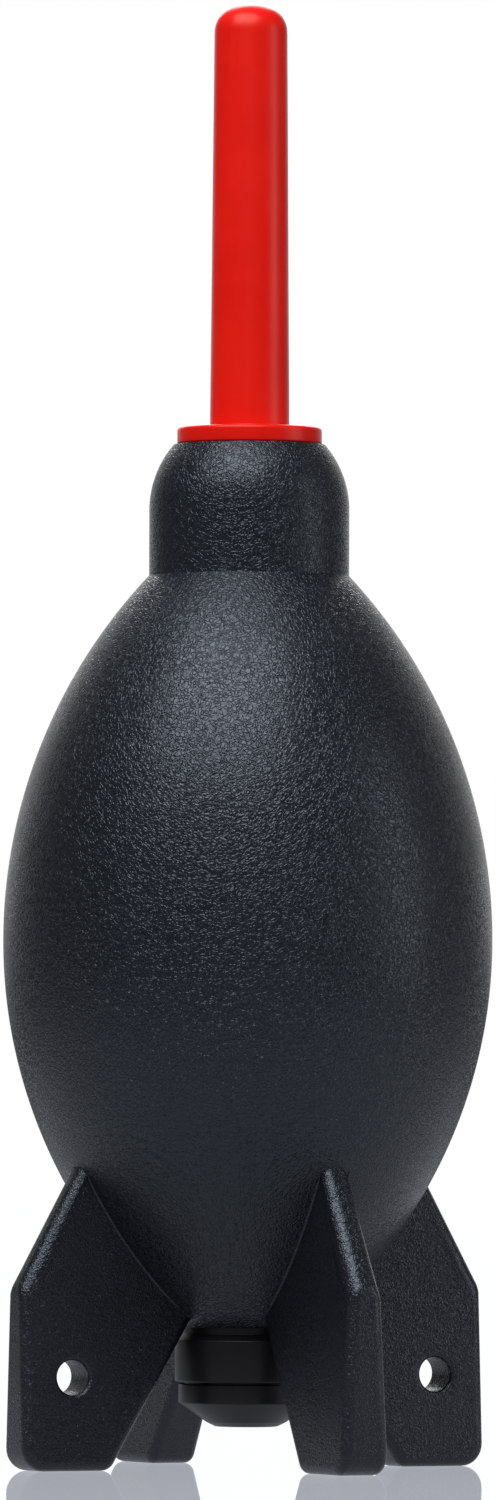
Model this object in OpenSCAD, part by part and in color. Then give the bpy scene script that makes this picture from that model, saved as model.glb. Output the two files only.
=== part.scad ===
// Dust blower bulb: a rubber squeeze bulb that stands on four fins, with a slim push-in nozzle
// on top and a one-way intake valve under its base. Millimetres, +Z up, origin on the floor under
// the axis. The front, where the thumb presses, faces -Y, and the fins stand on the diagonals.

/* [Bulb] */
// Largest outside radius of the bulb
bulb_r = 31.75; // [31:0.05:32]
// Height of the widest point above the floor
bulb_mid_z = 68.4; // [68:0.1:69]
// Radius of the outline's arc above the widest point
bulb_upper_arc = 69.2; // [68.5:0.1:70]
// Radius of the outline's arc below the widest point
bulb_lower_arc = 65.5; // [65:0.1:66]
// Thickness of the rubber wall
bulb_wall = 3; // [2.8:0.1:3.4]
// Radius of the hole in the bulb's lower end, which grips the valve body
base_hole_r = 6; // [5.8:0.1:6.2]

/* [Neck] */
// Outside radius of the neck collar
neck_r = 13; // [12.6:0.1:13.4]
// Height at which the collar's rounded top starts
neck_round_z = 124.3; // [124:0.1:124.8]
// Radius of the collar's rounded top
neck_round_r = 13; // [12:0.1:13]
// Height of the neck's top face, where the nozzle's flange rests
neck_top_z = 132.8; // [132.4:0.1:133]
// Radius of the hole through the neck
neck_bore_r = 7; // [6.8:0.1:7.2]

/* [Squeeze zones] */
// Half the width of each pressed wall
zone_half_w = 15; // [12:0.5:17]
// Distance from the middle of a pressed wall to the centre of each round end
zone_half_straight = 6; // [4:0.5:8]
// Gap around each pressed wall
zone_gap = 0.3; // [0.25:0.05:0.5]

/* [Fins] */
// Radius of the fins' upright outer edge
fin_r = 33.5; // [33:0.1:34]
// Height of the shoulder, where the outer edge turns inwards
fin_shoulder_z = 23.6; // [23:0.1:24.5]
// Radius and height at which the sloping edge meets the bulb
fin_apex = [24.8, 39];
// Radius of the foot's inner corner
foot_inner_r = 21.1; // [20:0.1:22]
// Radius and height at which the inner edge meets the bulb
fin_root = [9.6, 18.4];
// Thickness at the floor
fin_foot_t = 6.9; // [6:0.1:7.5]
// Thickness at the shoulder
fin_shoulder_t = 4.5; // [4:0.1:5]
// Thickness at the apex
fin_apex_t = 4; // [3.5:0.1:4.4]
// Radius and height of the lanyard hole's centre
lanyard_at = [26.4, 12];
// Radius of the lanyard hole
lanyard_r = 2.25; // [2:0.05:2.5]
// Length of the lanyard hole's straight wall, between its two chamfers
lanyard_length = 4.6; // [4:0.1:5]

/* [Nozzle] */
// Height of the nozzle's tip
tip_z = 190; // [185:1:195]
// Radius of the tube just above the flange
tube_low_r = 5.16; // [5:0.02:5.4]
// Radius of the tube just below the rounded tip
tube_top_r = 4.72; // [4.6:0.02:4.9]
// Corner radius of the rounded tip
tip_round = 3.5; // [3:0.1:3.6]
// Radius of the flange
flange_r = 9.4; // [9:0.1:9.8]
// Thickness of the flange
flange_t = 2.2; // [2:0.1:2.5]
// Length of the plug that goes into the neck
plug_length = 16; // [14:0.5:18]
// Radial clearance of the plug in the neck
plug_clearance = 0.05; // [0.02:0.01:0.08]
// Radius of the air channel
channel_r = 2.5; // [2:0.1:3]
// Radius of the outlet at the tip
outlet_r = 1; // [0.8:0.1:1.4]
// Length of the outlet's straight wall
outlet_length = 4; // [3:0.5:5]

/* [Outlet valve] */
// Radius and height of the seat ring
outlet_seat_size = [5.6, 3];
// Radius of the hole in the seat ring
outlet_seat_hole_r = 2.2; // [1.8:0.1:2.6]
// Radius and thickness of the flap disc
outlet_flap_size = [4, 1];
// Radius of the chamber around the flap disc
outlet_chamber_r = 4.6; // [4.4:0.1:5]
// Space above the flap disc when it is closed
outlet_headroom = 1.6; // [1.4:0.1:2]

/* [Intake valve] */
// Outside radius of the valve body's barrel under the bulb
barrel_r = 9.3; // [9.1:0.1:9.6]
// Height of the barrel's lower face
barrel_low_z = 11.2; // [11:0.1:11.6]
// Heights at which the chamfer round the barrel's upper edge starts and ends
barrel_chamfer_z = [16.6, 17.5];
// Outside radius of the cap under the barrel
cap_r = 8.8; // [8.6:0.1:9]
// Heights of the cap's lowest face, the foot of its chamfer and the foot of its upright side
cap_z = [5.4, 6, 8.5];
// Radii of the cap's lowest face and the foot of its chamfer
cap_low_r = [4, 5.2];
// Height of the groove between the cap and the barrel
cap_groove = 0.25; // [0.2:0.05:0.4]
// Radius of the air intake in the cap
intake_r = 2.5; // [2:0.1:3]
// Length of the air intake's straight wall
intake_length = 1.8; // [1.5:0.1:2]
// Thickness of the dust filter
filter_t = 0.8; // [0.6:0.1:1]
// Height of the upper end of the valve body
valve_top_z = 22.6; // [22.6:0.1:23.2]
// Height of the valve seat's upper face
seat_z = 14; // [13.5:0.1:14.5]
// Thickness of the web that holds the valve seat
seat_t = 1.5; // [1.2:0.1:2]
// Radius of the hole in the valve seat
seat_hole_r = 2.6; // [2.2:0.1:3]
// Radius of the chamber inside the valve body
chamber_r = 4.4; // [4.2:0.1:4.6]
// Radius and thickness of the valve disc
disc_size = [3.8, 1.2];
// Radius and thickness of the cage that holds the spring
cage_size = [5, 1.2];
// Mean radius and wire radius of the valve spring
spring_size = [2.4, 0.2];
// Turns of the valve spring
spring_turns = 5; // [4:1:7]

/* [Hidden] */
$fn = 96;
slack = 0.02;               // gap under a disc that rests on its seat
past = 1;                   // how far a cutting shape runs past the face it cuts
arc_steps = 14;             // straight steps along each arc of the bulb's outline
arc_end_r = 5;              // radius at which the arcs end, inside both bores
reach = 60;                 // longer than any half of the bulb
zone_from = 10;             // distance from the axis at which the squeeze zones' prisms start
locate_r = 8;               // ring that keeps the cap clear of the barrel
bead_r = 6.9;               // bead that locks the valve body inside the bulb
bead_t = 1.6;
snap_r = 6.4;               // bead that locks the cap on the valve body
snap_z = [9, 9.6];
nipple = [1.8, 0.8];        // centring nipple at each end of the spring
cage_hole_r = 0.9;
cage_hole_ring_r = 3.3;
barrel_round = 0.35;
flange_round = 0.45;
spring_sides = 8;
spring_steps = 20;          // rings for each turn

flange_top_z = neck_top_z + flange_t;
plug_r = neck_bore_r - plug_clearance;
plug_low_z = neck_top_z - plug_length;
seat_ring_top_z = plug_low_z + outlet_seat_size[1];
flap_top_z = seat_ring_top_z + slack + outlet_flap_size[1];
cap_top_z = barrel_low_z - cap_groove;
filter_low_z = cap_z[0] + intake_length;
body_low_z = filter_low_z + filter_t;
disc_low_z = seat_z + slack;
disc_top_z = disc_low_z + disc_size[1];
cage_low_z = valve_top_z - cage_size[1] - 0.4;

// A corner of a rounded outline: [first tangent point, second tangent point, centre]
function unit(v) = v / norm(v);
function rounded_corner(before, at, after, r) =
    let (u = unit(before - at), w = unit(after - at),
         half = acos(u * w) / 2,
         tangent = r / tan(half))
    [at + u * tangent, at + w * tangent, at + unit(u + w) * r / sin(half)];

// A flat outline whose corners have the given radii, 0 for a sharp one
module rounded_outline(points, radii) {
    n = len(points);
    corners = [for (i = [0:n - 1])
        rounded_corner(points[(i + n - 1) % n], points[i], points[(i + 1) % n], radii[i])];
    polygon([for (i = [0:n - 1]) each radii[i] > 0 ? [corners[i][0], corners[i][1]] : [points[i]]]);
    for (i = [0:n - 1]) if (radii[i] > 0) translate(corners[i][2]) circle(radii[i]);
}

// Points along one arc of the bulb's outline, lying in from the outside by inset, from the widest
// point towards the axis: up is 1 for the arc above the widest point and -1 for the one below it
function bulb_arc(arc, inset, up) =
    let (centre = bulb_r - arc, r = arc - inset, end = acos((arc_end_r - centre) / r))
    [for (i = [0:arc_steps]) [centre + r * cos(end * i / arc_steps),
                              bulb_mid_z + up * r * sin(end * i / arc_steps)]];

// Half of the bulb's outline without the neck
module bulb_half_outline(inset) {
    upper = bulb_arc(bulb_upper_arc, inset, 1);
    lower = bulb_arc(bulb_lower_arc, inset, -1);
    polygon(concat([for (i = [arc_steps:-1:1]) lower[i]], upper,
                   [[0, upper[arc_steps][1]], [0, lower[arc_steps][1]]]));
}

// Outer shape of the bulb with its neck, as a solid without the hollow
module bulb_envelope() {
    rotate_extrude() {
        bulb_half_outline(0);
        translate([0, bulb_mid_z]) square([neck_r, neck_round_z - bulb_mid_z]);
        intersection() {
            translate([neck_r - neck_round_r, neck_round_z]) circle(neck_round_r);
            translate([0, neck_round_z]) square([neck_r, neck_top_z - neck_round_z]);
        }
    }
}

// The whole rubber moulding, before the pressed walls are parted from it
module bulb_moulding() {
    difference() {
        bulb_envelope();
        rotate_extrude() {
            bulb_half_outline(bulb_wall);
            translate([0, bulb_mid_z]) square([neck_bore_r, neck_top_z + past - bulb_mid_z]);
            translate([0, barrel_low_z]) square([base_hole_r, bulb_mid_z - barrel_low_z]);
        }
    }
}

// Straight prism through the bulb's wall on one side: side is -1 for the front, 1 for the back
module squeeze_zone(side, grow) {
    translate([0, side * (zone_from + reach / 2), bulb_mid_z]) rotate([90, 0, 0])
        linear_extrude(reach, center = true) {
            square([2 * (zone_half_w + grow), 2 * zone_half_straight], center = true);
            for (end = [-1, 1]) translate([0, end * zone_half_straight]) circle(zone_half_w + grow);
        }
}

module bulb_shell() {
    color([0.13, 0.14, 0.16]) difference() {
        bulb_moulding();
        for (side = [-1, 1]) squeeze_zone(side, zone_gap);
    }
}

module bulb_wall(side) {
    color([0.2, 0.21, 0.23]) intersection() {
        bulb_moulding();
        squeeze_zone(side, 0);
    }
}

// The point on the line from a through b, a little past b and inside the bulb
function beyond(a, b) = b + 0.3 * (b - a);

// A fin that stands out along +X, before it is turned to its diagonal
module fin_blank(with_hole) {
    foot = [foot_inner_r, 0];
    shoulder = [fin_r, fin_shoulder_z];
    difference() {
        intersection() {
            rotate([90, 0, 0]) linear_extrude(fin_foot_t + 2 * past, center = true)
                rounded_outline(
                    [foot, [fin_r, 0], shoulder, beyond(shoulder, fin_apex), beyond(foot, fin_root)],
                    [2, 3, 3, 0, 0]);
            rotate([90, 0, 90]) linear_extrude(fin_r + past)
                polygon([for (side = [1, -1]) each
                    let (edge = [[fin_foot_t, 0], [fin_shoulder_t, fin_shoulder_z],
                                 [fin_apex_t, fin_apex[1]], [fin_apex_t, reach]])
                    [for (i = [0:3]) let (e = edge[side > 0 ? i : 3 - i]) [side * e[0] / 2, e[1]]]]);
        }
        if (with_hole) translate([lanyard_at[0], 0, lanyard_at[1]]) rotate([90, 0, 0]) {
            cylinder(r = lanyard_r, h = fin_foot_t + 2 * past, center = true);
            for (side = [0, 180]) rotate([side, 0, 0]) translate([0, 0, lanyard_length / 2])
                cylinder(r1 = lanyard_r, r2 = lanyard_r + 2, h = 2);
        }
    }
}

module fin(angle, with_hole) {
    color([0.1, 0.1, 0.11]) difference() {
        rotate([0, 0, angle]) fin_blank(with_hole);
        bulb_envelope();
    }
}

module nozzle() {
    color([0.85, 0.1, 0.07]) difference() {
        rotate_extrude() {
            difference() {
                rounded_outline(
                    [[0, flange_top_z - past], [tube_low_r, flange_top_z - past],
                     [tube_low_r, flange_top_z], [tube_top_r, tip_z], [0, tip_z]],
                    [0, 0, 0, tip_round, 0]);
                translate([-reach, 0]) square([reach, tip_z + past]);
            }
            rounded_outline(
                [[0, neck_top_z], [flange_r, neck_top_z], [flange_r, flange_top_z], [0, flange_top_z]],
                [0, 0, flange_round, 0]);
            translate([0, plug_low_z]) square([plug_r, plug_length + past]);
        }
        rotate_extrude() {
            translate([0, plug_low_z - past]) square([outlet_seat_size[0], outlet_seat_size[1] + past]);
            translate([0, seat_ring_top_z])
                square([outlet_chamber_r, flap_top_z + outlet_headroom - seat_ring_top_z]);
            translate([0, seat_ring_top_z])
                square([channel_r, tip_z - outlet_length - channel_r + outlet_r - seat_ring_top_z]);
            polygon([[0, tip_z - outlet_length], [outlet_r, tip_z - outlet_length],
                     [channel_r, tip_z - outlet_length - channel_r + outlet_r],
                     [0, tip_z - outlet_length - channel_r + outlet_r]]);
            translate([0, tip_z - outlet_length]) square([outlet_r, outlet_length + past]);
        }
    }
}

module outlet_seat() {
    color([0.75, 0.75, 0.72]) translate([0, 0, plug_low_z]) difference() {
        cylinder(r = outlet_seat_size[0], h = outlet_seat_size[1]);
        translate([0, 0, -past]) cylinder(r = outlet_seat_hole_r, h = outlet_seat_size[1] + 2 * past);
    }
}

module outlet_flap() {
    color([0.25, 0.25, 0.27]) translate([0, 0, seat_ring_top_z + slack])
        cylinder(r = outlet_flap_size[0], h = outlet_flap_size[1]);
}

module valve_body() {
    barrel_top_r = barrel_r - barrel_chamfer_z[1] + barrel_chamfer_z[0];
    color([0.16, 0.16, 0.17]) rotate_extrude() difference() {
        union() {
            difference() {
                polygon([[0, barrel_low_z], [barrel_r - barrel_round, barrel_low_z],
                         [barrel_r, barrel_low_z + barrel_round], [barrel_r, barrel_chamfer_z[0]],
                         [barrel_top_r, barrel_chamfer_z[1]], [barrel_top_r, valve_top_z],
                         [0, valve_top_z]]);
                bulb_half_outline(0);
            }
            translate([0, body_low_z]) square([base_hole_r, valve_top_z - body_low_z]);
            translate([0, snap_z[0]]) square([snap_r, snap_z[1] - snap_z[0]]);
            translate([0, cap_top_z]) square([locate_r, cap_groove]);
            translate([0, valve_top_z - bead_t]) square([bead_r, bead_t]);
        }
        translate([0, body_low_z - past]) square([chamber_r, seat_z - seat_t - body_low_z + past]);
        translate([0, body_low_z - past]) square([seat_hole_r, reach]);
        translate([0, seat_z]) square([chamber_r, reach]);
        translate([0, cage_low_z]) square([cage_size[0], reach]);
    }
}

module intake_cap() {
    color([0.15, 0.14, 0.14]) rotate_extrude() difference() {
        polygon([[0, cap_z[0]], [cap_low_r[0], cap_z[0]], [cap_low_r[1], cap_z[1]], [cap_r, cap_z[2]],
                 [cap_r, cap_top_z], [0, cap_top_z]]);
        translate([0, cap_z[0] - past]) square([intake_r, intake_length + 2 * past]);
        translate([0, filter_low_z]) square([base_hole_r, cap_top_z]);
        translate([0, snap_z[0]]) square([snap_r, snap_z[1] - snap_z[0]]);
    }
}

module intake_filter() {
    color([0.85, 0.83, 0.78]) translate([0, 0, filter_low_z]) cylinder(r = base_hole_r, h = filter_t);
}

module valve_disc() {
    color([0.3, 0.3, 0.32]) translate([0, 0, disc_low_z]) {
        cylinder(r = disc_size[0], h = disc_size[1]);
        cylinder(r = nipple[0], h = disc_size[1] + nipple[1]);
    }
}

// A round wire wound between the valve disc and the cage
module valve_spring() {
    low = disc_top_z + spring_size[1] + slack;
    rise = cage_low_z - spring_size[1] - slack - low;
    rings = spring_turns * spring_steps;
    points = [for (i = [0:rings], j = [0:spring_sides - 1])
        let (turn = 360 * i / spring_steps, around = 360 * j / spring_sides,
             out = spring_size[0] + spring_size[1] * cos(around))
        [out * cos(turn), out * sin(turn), low + rise * i / rings + spring_size[1] * sin(around)]];
    sides = [for (i = [0:rings - 1], j = [0:spring_sides - 1])
        let (k = (j + 1) % spring_sides, a = i * spring_sides, b = a + spring_sides)
        [a + j, b + j, b + k, a + k]];
    first_end = [for (j = [0:spring_sides - 1]) j];
    last_end = [for (j = [spring_sides - 1:-1:0]) rings * spring_sides + j];
    color([0.7, 0.71, 0.73]) polyhedron(points, concat(sides, [first_end, last_end]));
}

module valve_cage() {
    color([0.8, 0.8, 0.78]) translate([0, 0, cage_low_z]) difference() {
        union() {
            cylinder(r = cage_size[0], h = cage_size[1]);
            translate([0, 0, -nipple[1]]) cylinder(r = nipple[0], h = nipple[1]);
        }
        for (i = [0:5]) rotate([0, 0, 60 * i]) translate([cage_hole_ring_r, 0, -past])
            cylinder(r = cage_hole_r, h = cage_size[1] + 2 * past);
    }
}

bulb_shell();
bulb_wall(-1);  // bulb_wall_front
bulb_wall(1);  // bulb_wall_back
fin(225, true);  // fin_front_left
fin(315, false);  // fin_front_right
fin(45, true);  // fin_back_right
fin(135, false);  // fin_back_left
nozzle();
outlet_seat();
outlet_flap();
valve_body();
intake_cap();
intake_filter();
valve_disc();
valve_spring();
valve_cage();
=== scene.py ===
# Looks of the dust blower bulb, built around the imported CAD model. Sizes are in millimetres and
# become metres where a mesh is made. +Z is up, the floor is z = 0, the thumb presses from -Y.
import math

import bmesh
import bpy
from mathutils import Euler, Matrix, Vector
from mathutils.geometry import delaunay_2d_cdt


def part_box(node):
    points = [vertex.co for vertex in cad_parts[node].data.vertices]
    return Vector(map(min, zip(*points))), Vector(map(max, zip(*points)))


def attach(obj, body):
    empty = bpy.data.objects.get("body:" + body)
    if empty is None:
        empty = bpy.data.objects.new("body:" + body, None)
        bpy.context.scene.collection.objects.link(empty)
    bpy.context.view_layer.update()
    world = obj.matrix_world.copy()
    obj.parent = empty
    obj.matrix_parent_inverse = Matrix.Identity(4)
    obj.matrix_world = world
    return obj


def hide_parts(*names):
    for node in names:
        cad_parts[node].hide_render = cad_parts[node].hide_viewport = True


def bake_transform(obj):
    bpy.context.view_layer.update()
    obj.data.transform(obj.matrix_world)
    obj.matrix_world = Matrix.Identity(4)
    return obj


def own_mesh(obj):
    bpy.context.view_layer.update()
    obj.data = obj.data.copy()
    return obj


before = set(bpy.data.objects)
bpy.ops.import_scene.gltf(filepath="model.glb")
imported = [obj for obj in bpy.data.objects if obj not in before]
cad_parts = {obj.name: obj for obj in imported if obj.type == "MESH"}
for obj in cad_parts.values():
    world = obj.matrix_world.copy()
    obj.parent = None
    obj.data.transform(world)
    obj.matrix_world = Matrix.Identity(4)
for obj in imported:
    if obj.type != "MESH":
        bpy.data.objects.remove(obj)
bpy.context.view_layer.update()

MM = 0.001

# ---------------------------------------------------------------- sizes from the frame and the design


def high(node):
    """Highest corner of a CAD node's box, in millimetres."""
    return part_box(node)[1] / MM


def low(node):
    """Lowest corner of a CAD node's box, in millimetres."""
    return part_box(node)[0] / MM


TIP_Z = high("nozzle").z
PLUG_LOW_Z = low("nozzle").z
FLANGE_R = high("nozzle").x
NECK_TOP_Z = high("bulb_shell").z
FLANGE_T = 2.2
FLANGE_TOP_Z = NECK_TOP_Z + FLANGE_T

BULB_MID_R = 31.75
BULB_MID_Z = 68.4
UPPER_ARC = 69.2
LOWER_ARC = 65.5
WALL = 3.0
NECK_R = 13.0
NECK_ROUND_R = 13.0
NECK_ROUND_Z = 124.3
NECK_BORE_R = 7.0
NECK_BEVEL = 1.5  # where the neck's bore widens into the bulb
BASE_HOLE_R = 6.0

BARREL_R = high("valve_body").x
BARREL_LOW_Z = 11.2
BARREL_CHAMFER_Z = (16.6, 17.5)
CAP_LOW_Z = low("intake_cap").z
CAP_TOP_Z = high("intake_cap").z
CAP_R = high("intake_cap").x
CAP_CHAMFER_Z = 8.5
NIPPLE_T = 0.8  # depth of the cage's nipple that centres the spring

FIN_R = 33.5
SHOULDER = (FIN_R, 23.6)
APEX = (24.8, 39.0)
FOOT_INNER = (21.1, 0.0)
FOOT_OUTER = (FIN_R, 0.0)
ROOT = (9.6, 18.4)
LANYARD = (26.4, 12.0)
LANYARD_R = 2.25
FOOT_HALF_T, SHOULDER_HALF_T, APEX_HALF_T = 3.45, 2.25, 2.0  # half of the fin's thickness
FIN_ANGLES = {"fin_front_left": 225, "fin_front_right": 315, "fin_back_right": 45, "fin_back_left": 135}
HOLED_FINS = ("fin_front_left", "fin_back_right")


def lower_r(z):
    """Radius of the bulb at a height below its widest point."""
    return BULB_MID_R - LOWER_ARC + math.sqrt(LOWER_ARC ** 2 - (z - BULB_MID_Z) ** 2)


def arc_height(arc, r):
    """Height above or below the widest point at which an arc of the bulb's outline has radius r."""
    return math.sqrt(arc ** 2 - (r - BULB_MID_R + arc) ** 2)


# ---------------------------------------------------------------- mesh helpers


def mesh_object(name, points, faces, sharp_degrees=30):
    """A smooth-shaded object from points in millimetres, sharp where faces meet past the angle."""
    mesh = bpy.data.meshes.new(name)
    mesh.from_pydata([Vector(p) * MM for p in points], [], faces)
    mesh.validate()
    mesh.shade_smooth()
    if sharp_degrees:
        mesh.set_sharp_from_angle(angle=math.radians(sharp_degrees))
    piece = bpy.data.objects.new(name, mesh)
    bpy.context.scene.collection.objects.link(piece)
    return piece


def rounded(corners, steps=6):
    """A closed outline from (a, b, radius) corners, with round ones as arcs of equal steps."""
    outline = []
    for i, (a, b, radius) in enumerate(corners):
        at = Vector((a, b))
        if radius == 0:
            outline.append(at)
            continue
        before = (Vector(corners[i - 1][:2]) - at).normalized()
        after = (Vector(corners[(i + 1) % len(corners)][:2]) - at).normalized()
        half = before.angle(after) / 2
        centre = at + (before + after).normalized() * radius / math.sin(half)
        start = at + before * radius / math.tan(half) - centre
        end = at + after * radius / math.tan(half) - centre
        turn = start.angle_signed(end)
        for k in range(steps + 1):
            angle = -turn * k / steps
            outline.append(centre + Vector((start.x * math.cos(angle) - start.y * math.sin(angle),
                                            start.x * math.sin(angle) + start.y * math.cos(angle))))
    return outline


def lathe(name, outline, segments=128, sharp_degrees=30):
    """A closed solid turned about the axis from a closed (radius, height) outline."""
    points, faces = [], []
    count = len(outline)
    for i in range(segments):
        angle = 2 * math.pi * i / segments
        points += [(r * math.cos(angle), r * math.sin(angle), z) for r, z in outline]
    for i in range(segments):
        a, b = i * count, (i + 1) % segments * count
        faces += [(a + j, b + j, b + (j + 1) % count, a + (j + 1) % count) for j in range(count)]
    return mesh_object(name, points, faces, sharp_degrees)


def make_normals_consistent(mesh):
    """Turns every face of a closed mesh outwards."""
    work = bmesh.new()
    work.from_mesh(mesh)
    bmesh.ops.recalc_face_normals(work, faces=work.faces)
    work.to_mesh(mesh)
    work.free()


# ---------------------------------------------------------------- material helpers


def add_node(tree, kind, values=(), **settings):
    """A new shader node. Each of values is a number, a colour, or another node's output to link."""
    node = tree.nodes.new(kind)
    for key, value in settings.items():
        setattr(node, key, value)
    for key, value in dict(values).items():
        if isinstance(value, bpy.types.NodeSocket):
            tree.links.new(value, node.inputs[key])
        else:
            node.inputs[key].default_value = value
    return node


class Nodes:
    """One material that is being built, with short names for its kinds of node."""

    def __init__(self, name, slot):
        self.material = bpy.data.materials.new(name)
        self.material.use_nodes = True
        self.tree = self.material.node_tree
        self.shader = self.tree.nodes["Principled BSDF"]
        self.slot = slot
        self.place = self.add("ShaderNodeTexCoord").outputs["Object"]

    def add(self, kind, values=(), **settings):
        return add_node(self.tree, kind, values, **settings)

    def noise(self, size_mm, detail=3.0, rough=0.55, warp=0.0, place=None):
        values = {"Vector": place or self.place, "Scale": 1 / (size_mm * MM), "Detail": detail,
                  "Roughness": rough, "Distortion": warp}
        return self.add("ShaderNodeTexNoise", values).outputs["Fac"]

    def math(self, operation, a, b):
        return self.add("ShaderNodeMath", {0: a, 1: b}, operation=operation).outputs[0]

    def remap(self, value, from_low, from_high, to_low, to_high):
        values = {"Value": value, "From Min": from_low, "From Max": from_high, "To Min": to_low,
                  "To Max": to_high}
        return self.add("ShaderNodeMapRange", values, interpolation_type="SMOOTHSTEP").outputs["Result"]

    def mix(self, fac, a, b):
        node = self.add("ShaderNodeMix", {"Factor": fac}, data_type="RGBA")
        colours = [s for s in node.inputs if s.type == "RGBA"]
        colours[0].default_value = (*a, 1)
        colours[1].default_value = (*b, 1)
        return next(s for s in node.outputs if s.type == "RGBA")

    def set(self, **values):
        for key, value in values.items():
            self.shader.inputs[key.replace("_", " ")].default_value = value

    def link(self, output, key):
        self.tree.links.new(output, self.shader.inputs[key])

    def bump(self, height, depth_mm, strength=1.0, under=None):
        values = {"Height": height, "Distance": depth_mm * MM, "Strength": strength}
        if under is not None:
            values["Normal"] = under
        return self.add("ShaderNodeBump", values).outputs["Normal"]


def finish_piece(piece, body, made, *nodes):
    """Rides the piece on its body, gives it its material, and hides the nodes it stands for."""
    piece.data.materials.append(made.material)
    if body:
        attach(piece, body)
    if nodes:
        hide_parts(*nodes)
    return piece


# ---------------------------------------------------------------- materials


def grained_rubber(name, slot, dark, light, grain_mm, depth_mm, roughness, gloss):
    """Moulded rubber with a leather grain: bent, rounded pebbles between narrow creases, which are painted
    darker as painted shade.
    """
    m = Nodes(name, slot)
    drift = m.add("ShaderNodeTexNoise", {"Vector": m.place, "Scale": 1 / (1.7 * grain_mm * MM),
                                         "Detail": 1.0}).outputs["Color"]
    drift = m.add("ShaderNodeVectorMath", {0: drift, 1: (0.5, 0.5, 0.5)}, operation="SUBTRACT")
    drift = m.add("ShaderNodeVectorMath", {0: drift.outputs[0], "Scale": 2.2 * grain_mm * MM},
                  operation="SCALE")
    bent = m.add("ShaderNodeVectorMath", {0: m.place, 1: drift.outputs[0]}, operation="ADD").outputs[0]
    cells = m.add("ShaderNodeTexVoronoi", {"Vector": bent, "Scale": 1 / (grain_mm * MM)},
                  feature="DISTANCE_TO_EDGE")
    pebble = m.remap(cells.outputs["Distance"], 0.0, 0.26, 0.0, 1.0)
    speck = m.noise(grain_mm * 0.35, detail=1.0)
    rolling = m.noise(grain_mm * 3.0, detail=1.0)
    height = m.math("ADD", pebble, m.math("MULTIPLY", speck, 0.25))
    height = m.math("ADD", height, m.math("MULTIPLY", rolling, 0.9))
    uneven = m.bump(m.noise(14.0, detail=2.0), 0.12, 0.35)
    m.link(m.bump(height, depth_mm, 1.0, uneven), "Normal")
    # painted shade: the base colour is dark in the grain's creases and light on the pebble tops
    m.link(m.mix(pebble, dark, light), "Base Color")
    handled = m.noise(22.0, detail=4.0, rough=0.6)
    worn = m.remap(handled, 0.35, 0.7, roughness - 0.03, roughness + 0.05)
    m.link(m.math("SUBTRACT", worn, m.math("MULTIPLY", pebble, 0.05)), "Roughness")
    m.set(Specular_IOR_Level=gloss, Specular_Tint=(0.84, 0.91, 1.0, 1.0))
    return m


def red_plastic():
    """Semi-gloss moulded plastic, with faint flow marks along the tube."""
    m = Nodes("red_plastic", "nozzle_plastic")
    stretched = m.add("ShaderNodeMapping", {"Vector": m.place, "Scale": (1.0, 1.0, 0.06)})
    flow = m.noise(1.6, detail=4.0, place=stretched.outputs["Vector"])
    cloud = m.noise(9.0, detail=3.0)
    m.link(m.mix(m.remap(cloud, 0.3, 0.7, 0.0, 1.0), (0.72, 0.006, 0.002), (0.78, 0.009, 0.003)),
           "Base Color")
    m.link(m.remap(flow, 0.3, 0.7, 0.3, 0.4), "Roughness")
    fine = m.noise(0.35, detail=2.0)
    m.link(m.bump(fine, 0.006, 0.5, m.bump(flow, 0.02, 0.35)), "Normal")
    m.set(Specular_IOR_Level=0.3, Specular_Tint=(1.0, 0.82, 0.72, 1.0), Subsurface_Weight=0.08,
          Subsurface_Scale=0.002, Subsurface_Radius=(1.0, 0.25, 0.15))
    return m


def smooth_plastic(name, slot, dark, light, roughness):
    """Satin moulded plastic with a barely uneven skin."""
    m = Nodes(name, slot)
    cloud = m.noise(5.0, detail=4.0)
    fine = m.noise(0.25, detail=2.0)
    m.link(m.mix(m.remap(cloud, 0.3, 0.7, 0.0, 1.0), dark, light), "Base Color")
    m.link(m.remap(cloud, 0.3, 0.7, roughness - 0.04, roughness + 0.05), "Roughness")
    m.link(m.bump(fine, 0.006, 0.6), "Normal")
    m.set(Specular_IOR_Level=0.28)
    return m


def felt():
    """Loose pressed fibres."""
    m = Nodes("felt", "filter_felt")
    fibre = m.noise(0.35, detail=6.0, rough=0.7, warp=1.5)
    m.link(m.mix(m.remap(fibre, 0.35, 0.65, 0.0, 1.0), (0.5, 0.47, 0.4), (0.8, 0.78, 0.72)),
           "Base Color")
    m.link(m.remap(fibre, 0.3, 0.7, 0.85, 1.0), "Roughness")
    m.link(m.bump(fibre, 0.15), "Normal")
    m.set(Sheen_Weight=0.3)
    return m


def drawn_steel():
    """Bright wire with fine drawing marks."""
    m = Nodes("drawn_steel", "spring_steel")
    marks = m.noise(0.12, detail=3.0)
    m.link(m.mix(m.remap(marks, 0.3, 0.7, 0.0, 1.0), (0.5, 0.5, 0.52), (0.66, 0.66, 0.68)),
           "Base Color")
    m.link(m.remap(marks, 0.3, 0.7, 0.22, 0.38), "Roughness")
    m.link(m.bump(marks, 0.004), "Normal")
    m.set(Metallic=1.0)
    return m


# the first colour of each rubber is painted shade in its grain's creases, the second the pebble tops
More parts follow.
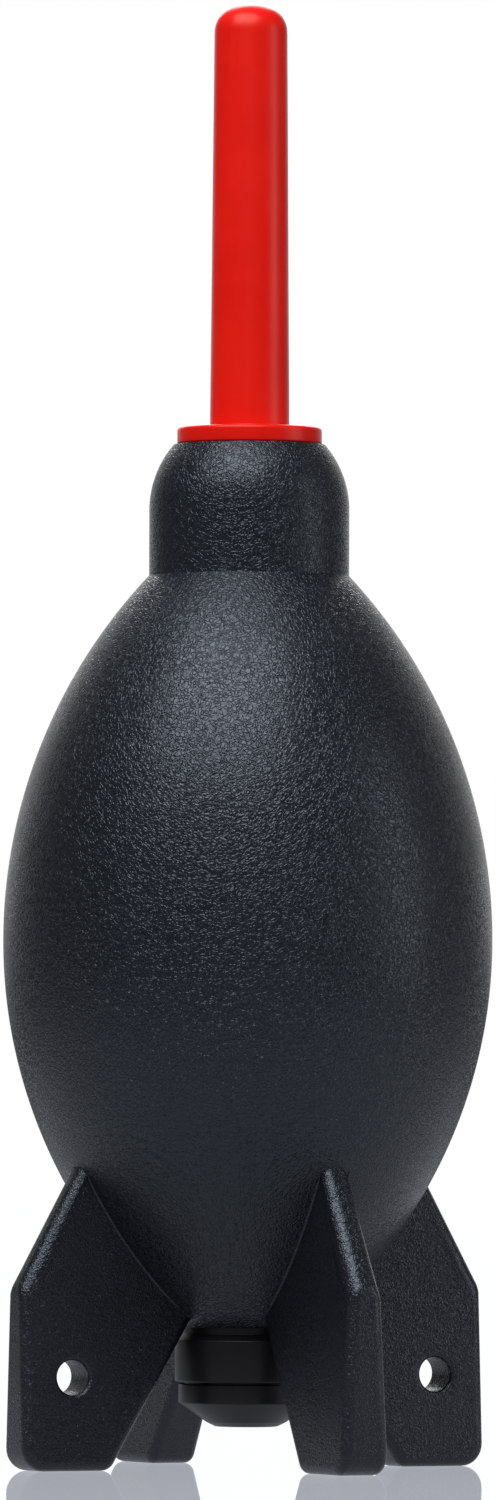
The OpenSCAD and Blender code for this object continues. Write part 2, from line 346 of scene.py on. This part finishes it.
BULB_RUBBER = grained_rubber("bulb_rubber", "bulb_rubber", (0.004, 0.005, 0.008),
                             (0.0085, 0.01, 0.0135), 0.52, 0.046, 0.305, 0.5)
FIN_RUBBER = grained_rubber("fin_rubber", "fin_rubber", (0.0055, 0.006, 0.0085),
                            (0.009, 0.0095, 0.0125), 0.42, 0.026, 0.3, 0.5)
RED_PLASTIC = red_plastic()
BLACK_PLASTIC = smooth_plastic("black_plastic", "valve_plastic", (0.005, 0.0045, 0.005),
                               (0.007, 0.0062, 0.0068), 0.36)
WHITE_PLASTIC = smooth_plastic("white_plastic", "seat_plastic", (0.6, 0.59, 0.54),
                               (0.68, 0.67, 0.62), 0.42)
GREY_SILICONE = smooth_plastic("grey_silicone", "valve_rubber", (0.03, 0.03, 0.034),
                               (0.045, 0.045, 0.05), 0.5)
FELT = felt()
DRAWN_STEEL = drawn_steel()


# ---------------------------------------------------------------- bulb skin


def bulb_quarter(name, side, upper, columns=96, rows=56):
    """One quarter of the hollow bulb: side -1 is the front, and the cut is at the widest point."""
    arc = UPPER_ARC if upper else LOWER_ARC
    sign = 1 if upper else -1
    end_r = NECK_R if upper else BASE_HOLE_R
    inner_end_r = NECK_BORE_R + NECK_BEVEL if upper else BASE_HOLE_R
    centre = (BULB_MID_R - arc, BULB_MID_Z)
    points, normals, faces = [], [], []
    for inset, last_r in ((0.0, end_r), (WALL, inner_end_r)):
        radius = arc - inset
        last = math.acos((last_r - centre[0]) / radius)
        facing = 1 if inset == 0 else -1
        for i in range(rows + 1):
            lift = last * i / rows
            r = centre[0] + radius * math.cos(lift)
            z = centre[1] + sign * radius * math.sin(lift)
            for j in range(columns + 1):
                turn = side * math.pi * j / columns
                points.append((r * math.cos(turn), r * math.sin(turn), z))
                normals.append((facing * math.cos(lift) * math.cos(turn),
                                facing * math.cos(lift) * math.sin(turn),
                                facing * sign * math.sin(lift)))
    width = columns + 1
    inner = width * (rows + 1)
    for i in range(rows):
        for j in range(columns):
            a = i * width + j
            outer = (a, a + 1, a + width + 1, a + width)
            faces.append(outer)
            faces.append(tuple(inner + p for p in reversed(outer)))
    for row in (0, rows):
        for j in range(columns):
            a = row * width + j
            faces.append((a + 1, a, inner + a, inner + a + 1))
    for column in (0, columns):
        for i in range(rows):
            a = i * width + column
            faces.append((a, a + width, inner + a + width, inner + a))
    piece = mesh_object(name, points, faces, sharp_degrees=0)
    make_normals_consistent(piece.data)
    piece.data.normals_split_custom_set_from_vertices(normals)
    return piece


def dent(piece):
    """Bakes the quarter's placement into its mesh."""
    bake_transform(piece)


for side_name, side_sign in (("front", -1), ("back", 1)):
    for level in ("upper", "lower"):
        quarter = bulb_quarter(f"bulb_skin_{side_name}_{level}", side_sign, level == "upper")
        stands_for = []
        if level == "upper":
            stands_for = ["bulb_wall_" + side_name] + ["bulb_shell"] * (side_sign < 0)
        finish_piece(quarter, None, BULB_RUBBER, *stands_for)
        dent(quarter)


def neck_collar():
    """The thick collar that grips the nozzle, from its sharp step at the bulb's shoulder up."""
    step_z = BULB_MID_Z + arc_height(UPPER_ARC, NECK_R)
    buried, straight, lip, steps = 0.6, 1, 0.3, 24
    outline = [Vector((NECK_R, step_z - buried)), Vector((NECK_R, step_z + straight))]
    centre = Vector((NECK_R - NECK_ROUND_R, NECK_ROUND_Z))
    last = math.asin((NECK_TOP_Z - NECK_ROUND_Z) / NECK_ROUND_R)
    turns = [last * i / steps for i in range(steps + 1)]
    outline += [centre + NECK_ROUND_R * Vector((math.cos(turn), math.sin(turn))) for turn in turns]
    outline += [Vector((NECK_BORE_R + lip, NECK_TOP_Z)), Vector((NECK_BORE_R, NECK_TOP_Z - lip)),
                Vector((NECK_BORE_R, step_z - NECK_BEVEL)),
                Vector((NECK_BORE_R + NECK_BEVEL, step_z - 2 * NECK_BEVEL))]
    return finish_piece(lathe("neck_collar", outline, segments=192), "bulb", BULB_RUBBER)


neck_collar()


# ---------------------------------------------------------------- nozzle and intake


def nozzle():
    """Tube with a domed tip, flange and plug, with the air channel right through it."""
    tube_low_r, tube_top_r, channel_r, outlet_r = 5.16, 4.72, 2.5, 1.0
    clearance, tip_round, outlet_length, cone_length, chamber_height = 0.05, 3.5, 4.0, 1.5, 2.62
    plug_r = NECK_BORE_R - clearance
    seat_r, chamber_r = 5.6, 4.6
    seat_top_z = high("outlet_seat").z
    chamber_top_z = seat_top_z + chamber_height
    outlet_low_z = TIP_Z - outlet_length
    outline = rounded([
        (seat_r, PLUG_LOW_Z, 0.15), (plug_r, PLUG_LOW_Z, 0.6), (plug_r, NECK_TOP_Z, 0),
        (FLANGE_R, NECK_TOP_Z, 0.3), (FLANGE_R, FLANGE_TOP_Z, 0.45), (tube_low_r, FLANGE_TOP_Z, 0.35),
        (tube_top_r, TIP_Z, tip_round), (outlet_r, TIP_Z, 0.15), (outlet_r, outlet_low_z, 0),
        (channel_r, outlet_low_z - cone_length, 0), (channel_r, chamber_top_z, 0),
        (chamber_r, chamber_top_z, 0.2), (chamber_r, seat_top_z, 0), (seat_r, seat_top_z, 0)], steps=10)
    return finish_piece(lathe("nozzle_tube", outline, segments=160), "nozzle", RED_PLASTIC, "nozzle")


def intake_cap():
    """Chamfered cap with the air intake in its lowest face."""
    intake_r, floor_z = 2.5, low("intake_filter").z
    lip_r, waist_r, waist_z = 4.0, 5.2, 6.0
    outline = rounded([
        (intake_r, CAP_LOW_Z, 0.2), (lip_r, CAP_LOW_Z, 1.2), (waist_r, waist_z, 1.0),
        (CAP_R, CAP_CHAMFER_Z, 0.25), (CAP_R, CAP_TOP_Z, 0.2), (BASE_HOLE_R, CAP_TOP_Z, 0),
        (BASE_HOLE_R, floor_z, 0), (intake_r, floor_z, 0)])
    return finish_piece(lathe("cap_shell", outline), "bulb", BLACK_PLASTIC, "intake_cap")


def valve_barrel():
    """Barrel under the bulb, with the stem that goes up through the rubber and its locking bead."""
    top_r = BARREL_R - (BARREL_CHAMFER_Z[1] - BARREL_CHAMFER_Z[0])
    top_z, stem_low_z = high("valve_body").z, low("valve_body").z
    meets_z = BULB_MID_Z - arc_height(LOWER_ARC, top_r)
    stem_z = BULB_MID_Z - arc_height(LOWER_ARC, BASE_HOLE_R)
    bead_r, bead_low_z, chamber_r, cage_r = 6.9, top_z - 1.6, 4.4, 5.0
    groove_r = 8.0
    seat_r, seat_low_z, seat_top_z = 2.6, 12.5, 14.0
    cage_shelf_z = low("valve_cage").z + NIPPLE_T
    outline = rounded([
        (chamber_r, stem_low_z, 0), (BASE_HOLE_R, stem_low_z, 0), (BASE_HOLE_R, CAP_TOP_Z, 0),
        (groove_r, CAP_TOP_Z, 0), (groove_r, BARREL_LOW_Z, 0), (BARREL_R, BARREL_LOW_Z, 0.3),
        (BARREL_R, BARREL_CHAMFER_Z[0], 0.3), (top_r, BARREL_CHAMFER_Z[1], 0.2), (top_r, meets_z, 0),
        (BASE_HOLE_R, stem_z, 0), (BASE_HOLE_R, bead_low_z, 0), (bead_r, bead_low_z, 0.1),
        (bead_r, top_z, 0.5), (cage_r, top_z, 0.1), (cage_r, cage_shelf_z, 0), (chamber_r, cage_shelf_z, 0),
        (chamber_r, seat_top_z, 0), (seat_r, seat_top_z, 0), (seat_r, seat_low_z, 0),
        (chamber_r, seat_low_z, 0)])
    return finish_piece(lathe("valve_barrel", outline), "bulb", BLACK_PLASTIC, "valve_body")


def valve_spring():
    """Closing spring between the disc and the cage, with flat end coils."""
    wire_r, mean_r, turns, dead_turns, steps, sides = 0.2, 2.4, 5, 0.6, 36, 12
    first_z, last_z = low("valve_spring").z + wire_r, high("valve_spring").z - wire_r
    rings = turns * steps
    points, faces = [], []
    for i in range(rings + 1):
        turn = i / steps
        climb = min(max((turn - dead_turns) / (turns - 2 * dead_turns), 0.0), 1.0)
        c, s = math.cos(2 * math.pi * turn), math.sin(2 * math.pi * turn)
        for j in range(sides):
            around = 2 * math.pi * j / sides
            out = mean_r + wire_r * math.cos(around)
            points.append((out * c, out * s,
                           first_z + (last_z - first_z) * climb + wire_r * math.sin(around)))
    for i in range(rings):
        for j in range(sides):
            a, b = i * sides + j, i * sides + (j + 1) % sides
            faces.append((a, a + sides, b + sides, b))
    faces += [tuple(range(sides)), tuple(reversed(range(rings * sides, (rings + 1) * sides)))]
    piece = mesh_object("spring_coil", points, faces, sharp_degrees=60)
    make_normals_consistent(piece.data)
    finish_piece(piece, "bulb", DRAWN_STEEL, "valve_spring")
    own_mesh(piece)


nozzle()
intake_cap()
valve_barrel()
valve_spring()

# ---------------------------------------------------------------- fins


def fin_half_thickness(z):
    """Half of a fin's thickness, which flares towards the floor."""
    if z < SHOULDER[1]:
        return FOOT_HALF_T + (SHOULDER_HALF_T - FOOT_HALF_T) * z / SHOULDER[1]
    climbed = (z - SHOULDER[1]) / (APEX[1] - SHOULDER[1])
    return SHOULDER_HALF_T + (APEX_HALF_T - SHOULDER_HALF_T) * climbed


def fin_ring(share, arc_steps=8):
    """The fin's outline as (radius, height, edge rounding), moved in by a share of each edge's
    rounding. Every ring has the same points."""
    embed = 1.6  # how far the root goes into the bulb
    foot, root = Vector(FOOT_INNER), Vector(ROOT)
    shoulder, apex = Vector(SHOULDER), Vector(APEX)
    root_in = root + (root - foot).normalized() * embed
    apex_in = apex + (apex - shoulder).normalized() * embed
    # corner, its radius, and the rounding of the edge that follows it
    corners = [(foot, 2.0, 1.2), (Vector(FOOT_OUTER), 3.0, 1.25), (shoulder, 3.5, 1.8),
               (apex_in, 0.0, 1.2), (root_in, 0.0, 1.2)]
    moved = []
    for i, (at, radius, after_edge) in enumerate(corners):
        before, after = corners[i - 1][0], corners[(i + 1) % len(corners)][0]
        before_edge = corners[i - 1][2]
        u, w = (at - before).normalized(), (after - at).normalized()
        n1, n2 = Vector((-u.y, u.x)), Vector((-w.y, w.x))
        d1, d2, c = share * before_edge, share * after_edge, n1.dot(n2)
        at = at + (n1 * (d1 - d2 * c) + n2 * (d2 - d1 * c)) / (1 - c * c)
        moved.append((at.x, at.y, max(radius - (d1 + d2) / 2, 0.05) if radius else 0))
    ring = []
    for i, corner in enumerate(moved):
        steps = arc_steps if corner[2] else 0
        for k in range(steps + 1):
            blend = k / steps if steps else 0.5
            ring.append(corners[i - 1][2] * (1 - blend) + corners[i][2] * blend)
    return [Vector((p.x, p.y, edge)) for p, edge in zip(rounded(moved, arc_steps), ring)]


def inside(point, outline):
    """Whether a flat point lies within a closed outline."""
    crossings = 0
    for i, b in enumerate(outline):
        a = outline[i - 1]
        if (a.y > point.y) != (b.y > point.y):
            crossings += point.x < a.x + (b.x - a.x) * (point.y - a.y) / (b.y - a.y)
    return crossings % 2 == 1


def panel(outline, hole):
    """Even triangles that fill the outline around the hole: extra points, and index triples."""
    spacing, margin = 1.3, 0.45
    first_r, columns, rows = 8, 24, 34
    grid = []
    for i in range(columns):
        for j in range(rows):
            at = Vector((first_r + spacing * (i + 0.5 * (j % 2)), spacing * j))
            if not inside(at, outline) or min((at - p.xy).length for p in outline) < margin:
                continue
            if hole and (inside(at, hole) or min((at - p.xy).length for p in hole) < margin):
                continue
            grid.append(at)
    flat = [p.xy for p in outline + hole] + grid
    loops = [(0, len(outline))] + ([(len(outline), len(hole))] if hole else [])
    edges = [(first + k, first + (k + 1) % count) for first, count in loops for k in range(count)]
    _, _, triangles, _, _, _ = delaunay_2d_cdt(flat, edges, [], 0, 1e-6)
    kept = []
    for triangle in triangles:
        middle = sum((flat[i] for i in triangle), Vector((0, 0))) / 3
        if inside(middle, outline) and not (hole and inside(middle, hole)):
            kept.append(tuple(triangle))
    return [Vector((p.x, p.y, 0)) for p in grid], kept


class Shape:
    """Points and faces of a fin, in its own (radius, offset, height) axes."""

    def __init__(self):
        self.points, self.faces = [], []

    def ring(self, outline, side, sink):
        """Adds an outline, sunk under one of the fin's flat sides by a share of each point's rounding,
        and returns its indices."""
        first = len(self.points)
        self.points += [(p.x, side * (fin_half_thickness(p.y) - sink * p.z), p.y) for p in outline]
        return list(range(first, len(self.points)))

    def bridge(self, a, b):
        count = len(a)
        self.faces += [(a[k], a[(k + 1) % count], b[(k + 1) % count], b[k]) for k in range(count)]

    def bridge_all(self, rings):
        for a, b in zip(rings, rings[1:]):
            self.bridge(a, b)

    def turned(self, angle):
        c, s = math.cos(math.radians(angle)), math.sin(math.radians(angle))
        return [(x * c - y * s, x * s + y * c, z) for x, y, z in self.points]


def quarter_round(steps):
    """(inset, sink) shares of the radius, from a flat side over a quarter round to the edge."""
    turns = [math.pi / 2 * k / steps for k in range(steps + 1)]
    return [(1 - math.sin(t), 1 - math.cos(t)) for t in turns]


def hole_ring(radius, rim, count=56):
    turns = [2 * math.pi * k / count for k in range(count)]
    return [Vector((LANYARD[0] + radius * math.cos(t), LANYARD[1] + radius * math.sin(t), rim))
            for t in turns]


def fin(name, angle, holed):
    """One fin: flat sides that flare towards the floor, rounded all round, with a rounded hole."""
    rim = 0.5
    shape = Shape()
    edges, holes = {}, {}
    for side in (-1, 1):
        edges[side] = [shape.ring(fin_ring(inset), side, sink) for inset, sink in quarter_round(8)]
        known = list(edges[side][0])
        hole = []
        if holed:
            hole = hole_ring(LANYARD_R + rim, rim)
            holes[side] = [shape.ring(hole_ring(LANYARD_R + inset * rim, rim), side, sink)
                           for inset, sink in quarter_round(5)]
            known += holes[side][0]
            shape.bridge_all(holes[side])
        grid, triangles = panel(fin_ring(1.0), hole)
        known += shape.ring(grid, side, 0.0)
        shape.faces += [tuple(known[i] for i in triangle) for triangle in triangles]
        shape.bridge_all(edges[side])
    shape.bridge(edges[-1][-1], edges[1][-1])
    if holed:
        shape.bridge(holes[-1][-1], holes[1][-1])
    for side in (-1, 1):
        fillet(shape, side)
    piece = mesh_object(name + "_shape", shape.turned(angle), shape.faces)
    make_normals_consistent(piece.data)
    return finish_piece(piece, "bulb", FIN_RUBBER, name)


def fillet(shape, side):
    """Thin concave bead in the corner between one side of the fin and the bulb."""
    size, steps, round_steps, bury = 0.28, 48, 5, 0.35
    fade, least = 6, 0.08  # it thins out over a sixth of its length at each end
    first_z, last_z = ROOT[1] + 1.2, APEX[1] - 0.4

    def corner(z):
        offset = side * fin_half_thickness(z)
        return Vector((math.sqrt(lower_r(z) ** 2 - offset ** 2), offset, z))

    sections = []
    for k in range(steps + 1):
        share = k / steps
        z = first_z + (last_z - first_z) * share
        at = corner(z)
        along = (corner(z + 0.01) - corner(z - 0.01)).normalized()
        steep = math.asin((BULB_MID_Z - z) / LOWER_ARC)
        out = Vector((at.x, at.y, 0)).normalized() * math.cos(steep) - Vector((0, 0, math.sin(steep)))
        on_fin = Vector((0, side, 0)).cross(along).normalized()
        on_fin *= 1 if on_fin.dot(out) > 0 else -1
        on_bulb = out.cross(along).normalized()
        on_bulb *= 1 if on_bulb.y * side > 0 else -1
        reach = size * min(1.0, fade * share + least, fade * (1 - share) + least)
        section = []
        for j in range(round_steps + 1):
            u = j / round_steps
            section.append(at + on_fin * reach * (1 - u) ** 2 + on_bulb * reach * u ** 2)
        section.append(at - on_bulb * bury - out * bury)
        sections.append(section)
    count = round_steps + 2
    rings = []
    for section in sections:
        first = len(shape.points)
        shape.points += [tuple(p) for p in section]
        rings.append(list(range(first, first + count)))
    shape.bridge_all(rings)
    shape.faces += [tuple(rings[0]), tuple(reversed(rings[-1]))]


for fin_name, fin_angle in FIN_ANGLES.items():
    fin(fin_name, fin_angle, fin_name in HOLED_FINS)


# ---------------------------------------------------------------- small inner pieces keep their CAD shape

INNER_FINISH = {"outlet_seat": WHITE_PLASTIC, "outlet_flap": GREY_SILICONE, "intake_filter": FELT,
                "valve_disc": GREY_SILICONE, "valve_cage": WHITE_PLASTIC}
for node_name, made in INNER_FINISH.items():
    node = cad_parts[node_name]
    node.data.materials.clear()
    node.data.materials.append(made.material)


# ---------------------------------------------------------------- stage, light and camera

VIEW_AZIMUTH = 17.6   # degrees from the front to the photographed side
VIEW_DISTANCE = 1489  # from the axis
VIEW_HEIGHT = 49.2
VIEW_TILT = 1.69      # degrees above the horizon
VIEW_ROLL = 0.2       # the photo's own slight lean
FRONT_LEVEL = 0.115   # the studio's brightness on the camera's side
MIRROR = 1.04         # how much of a grazing look the table mirrors
FLOOR_COLOUR = (0.96, 1.0, 1.1, 1)
FLOOR_LEVEL = 0.7     # the table's brightness as the object sees it, near the object
FAR_LEVEL = 0.12      # and half a metre away
UNDER_LEVEL = 0.75    # the share of it that is left right under the object, a painted shadow of the object in the table's glow
LENS_MM = 275.3       # on a sensor 36 mm high
AIM_Z = 90            # the height that the softboxes face


def around(azimuth, distance, height):
    """A place at an azimuth from the front, in metres."""
    a = math.radians(azimuth)
    return Vector((math.sin(a) * distance, -math.cos(a) * distance, height)) * MM


def camera():
    lens = bpy.data.cameras.new("camera")
    lens.sensor_width = 36.0
    lens.lens = LENS_MM
    lens.clip_start, lens.clip_end = 0.05, 50.0
    holder = bpy.data.objects.new("camera", lens)
    holder.location = around(VIEW_AZIMUTH, VIEW_DISTANCE, VIEW_HEIGHT)
    turn = Euler((math.radians(90 + VIEW_TILT), 0, math.radians(VIEW_AZIMUTH))).to_matrix()
    holder.rotation_euler = (turn @ Matrix.Rotation(math.radians(VIEW_ROLL), 3, "Z")).to_euler()
    bpy.context.scene.collection.objects.link(holder)
    bpy.context.scene.camera = holder


def softbox(name, azimuth, distance, height, width, tall, power, colour=(1, 1, 1)):
    """A rectangular area light that faces the bulb, and that the camera and the table don't see."""
    light = bpy.data.lights.new(name, "AREA")
    light.shape = "RECTANGLE"
    light.size, light.size_y = width * MM, tall * MM
    light.energy = power
    light.color = colour
    holder = bpy.data.objects.new(name, light)
    holder.location = around(azimuth, distance, height)
    aim = Vector((0, 0, AIM_Z * MM)) - holder.location
    holder.rotation_euler = aim.to_track_quat("-Z", "Y").to_euler()
    holder.visible_camera = False
    holder.light_linking.receiver_collection = UNLIT
    bpy.context.scene.collection.objects.link(holder)


def studio_world():
    """White to the camera and to the table's mirror, and bright only behind the object for the object
    itself, so that the black rubber stays dark and its rims catch the backdrop."""
    world = bpy.data.worlds.new("studio")
    world.use_nodes = True
    tree = world.node_tree
    shown = tree.nodes["Background"]
    shown.inputs["Color"].default_value = (1, 1, 1, 1)
    place = add_node(tree, "ShaderNodeTexCoord").outputs["Generated"]
    away = -around(VIEW_AZIMUTH, 1 / MM, 0)
    behind = add_node(tree, "ShaderNodeVectorMath", {0: place, 1: away}, operation="DOT_PRODUCT")
    ramp = add_node(tree, "ShaderNodeMapRange", {"Value": behind.outputs["Value"], "From Min": 0.7,
                                                 "From Max": 0.97, "To Min": FRONT_LEVEL, "To Max": 1.0},
                    interpolation_type="SMOOTHSTEP")
    lit = add_node(tree, "ShaderNodeBackground", {"Color": (1, 1, 1, 1), "Strength": ramp.outputs[0]})
    ray = add_node(tree, "ShaderNodeLightPath").outputs
    white = add_node(tree, "ShaderNodeMath", {0: ray["Is Camera Ray"], 1: ray["Is Singular Ray"]},
                     operation="MAXIMUM")
    mix = add_node(tree, "ShaderNodeMixShader", {0: white.outputs[0], 1: lit.outputs[0],
                                                 2: shown.outputs[0]})
    tree.links.new(mix.outputs[0], tree.nodes["World Output"].inputs["Surface"])
    bpy.context.scene.world = world


def floor():
    """Pale glossy table. It mirrors the feet at a grazing look and hardly at all from above, and it
    lights the object less than it shows, least of all from far away. It returns the collection that
    holds the table, which the softboxes leave out so that the table doesn't mirror them."""
    bpy.ops.mesh.primitive_plane_add(size=60)
    table = bpy.context.object
    table.name = "floor"
    material = bpy.data.materials.new("pale_table")
    material.use_nodes = True
    tree = material.node_tree
    tree.nodes.remove(tree.nodes["Principled BSDF"])

    def add(kind, values=(), **settings):
        return add_node(tree, kind, values, **settings).outputs[0]

    def product(a, b, **settings):
        return add("ShaderNodeMath", {0: a, 1: b}, operation="MULTIPLY", **settings)

    def by_distance(first, last, start, end=1.0):
        values = {"Value": distance, "From Min": first, "From Max": last, "To Min": start, "To Max": end}
        return add("ShaderNodeMapRange", values, interpolation_type="SMOOTHSTEP")

    # by_distance takes metres from the axis
    seen = add_node(tree, "ShaderNodeLightPath").outputs["Is Camera Ray"]
    place = add_node(tree, "ShaderNodeTexCoord").outputs["Object"]
    distance = add_node(tree, "ShaderNodeVectorMath", {0: place}, operation="LENGTH").outputs["Value"]
    # the table's glow as the object sees it, with a painted shadow of the object right under it
    felt_level = product(by_distance(0.03, 0.14, UNDER_LEVEL), by_distance(0.05, 0.5, FLOOR_LEVEL, FAR_LEVEL))
    level = add("ShaderNodeMapRange", {"Value": seen, "To Min": felt_level, "To Max": 1.0})
    glow = add("ShaderNodeEmission", {"Color": FLOOR_COLOUR, "Strength": level})
    gloss = add("ShaderNodeBsdfGlossy", {"Color": (1, 1, 1, 1), "Roughness": 0.0})
    grazing = add("ShaderNodeFresnel", {"IOR": 1.45})
    grazing = add("ShaderNodeMath", {0: grazing, 1: 2.5}, operation="POWER")
    share = product(product(grazing, seen), MIRROR, use_clamp=True)
    mix = add("ShaderNodeMixShader", {0: share, 1: glow, 2: gloss})
    tree.links.new(mix, tree.nodes["Material Output"].inputs["Surface"])
    table.data.materials.append(material)
    unlit = bpy.data.collections.new("unlit")
    unlit.objects.link(table)
    unlit.collection_objects[0].light_linking.link_state = "EXCLUDE"
    return unlit


camera()
studio_world()
UNLIT = floor()
softbox("key_overhead", -5, 400, 740, 760, 540, 8.5, (0.9, 0.95, 1.0))
softbox("fill_right", 95, 700, 230, 260, 520, 1.0, (0.93, 0.96, 1.0))
softbox("fill_back", 199, 620, 560, 420, 420, 2.6, (0.93, 0.96, 1.0))
bpy.context.scene.view_settings.view_transform = "Standard"
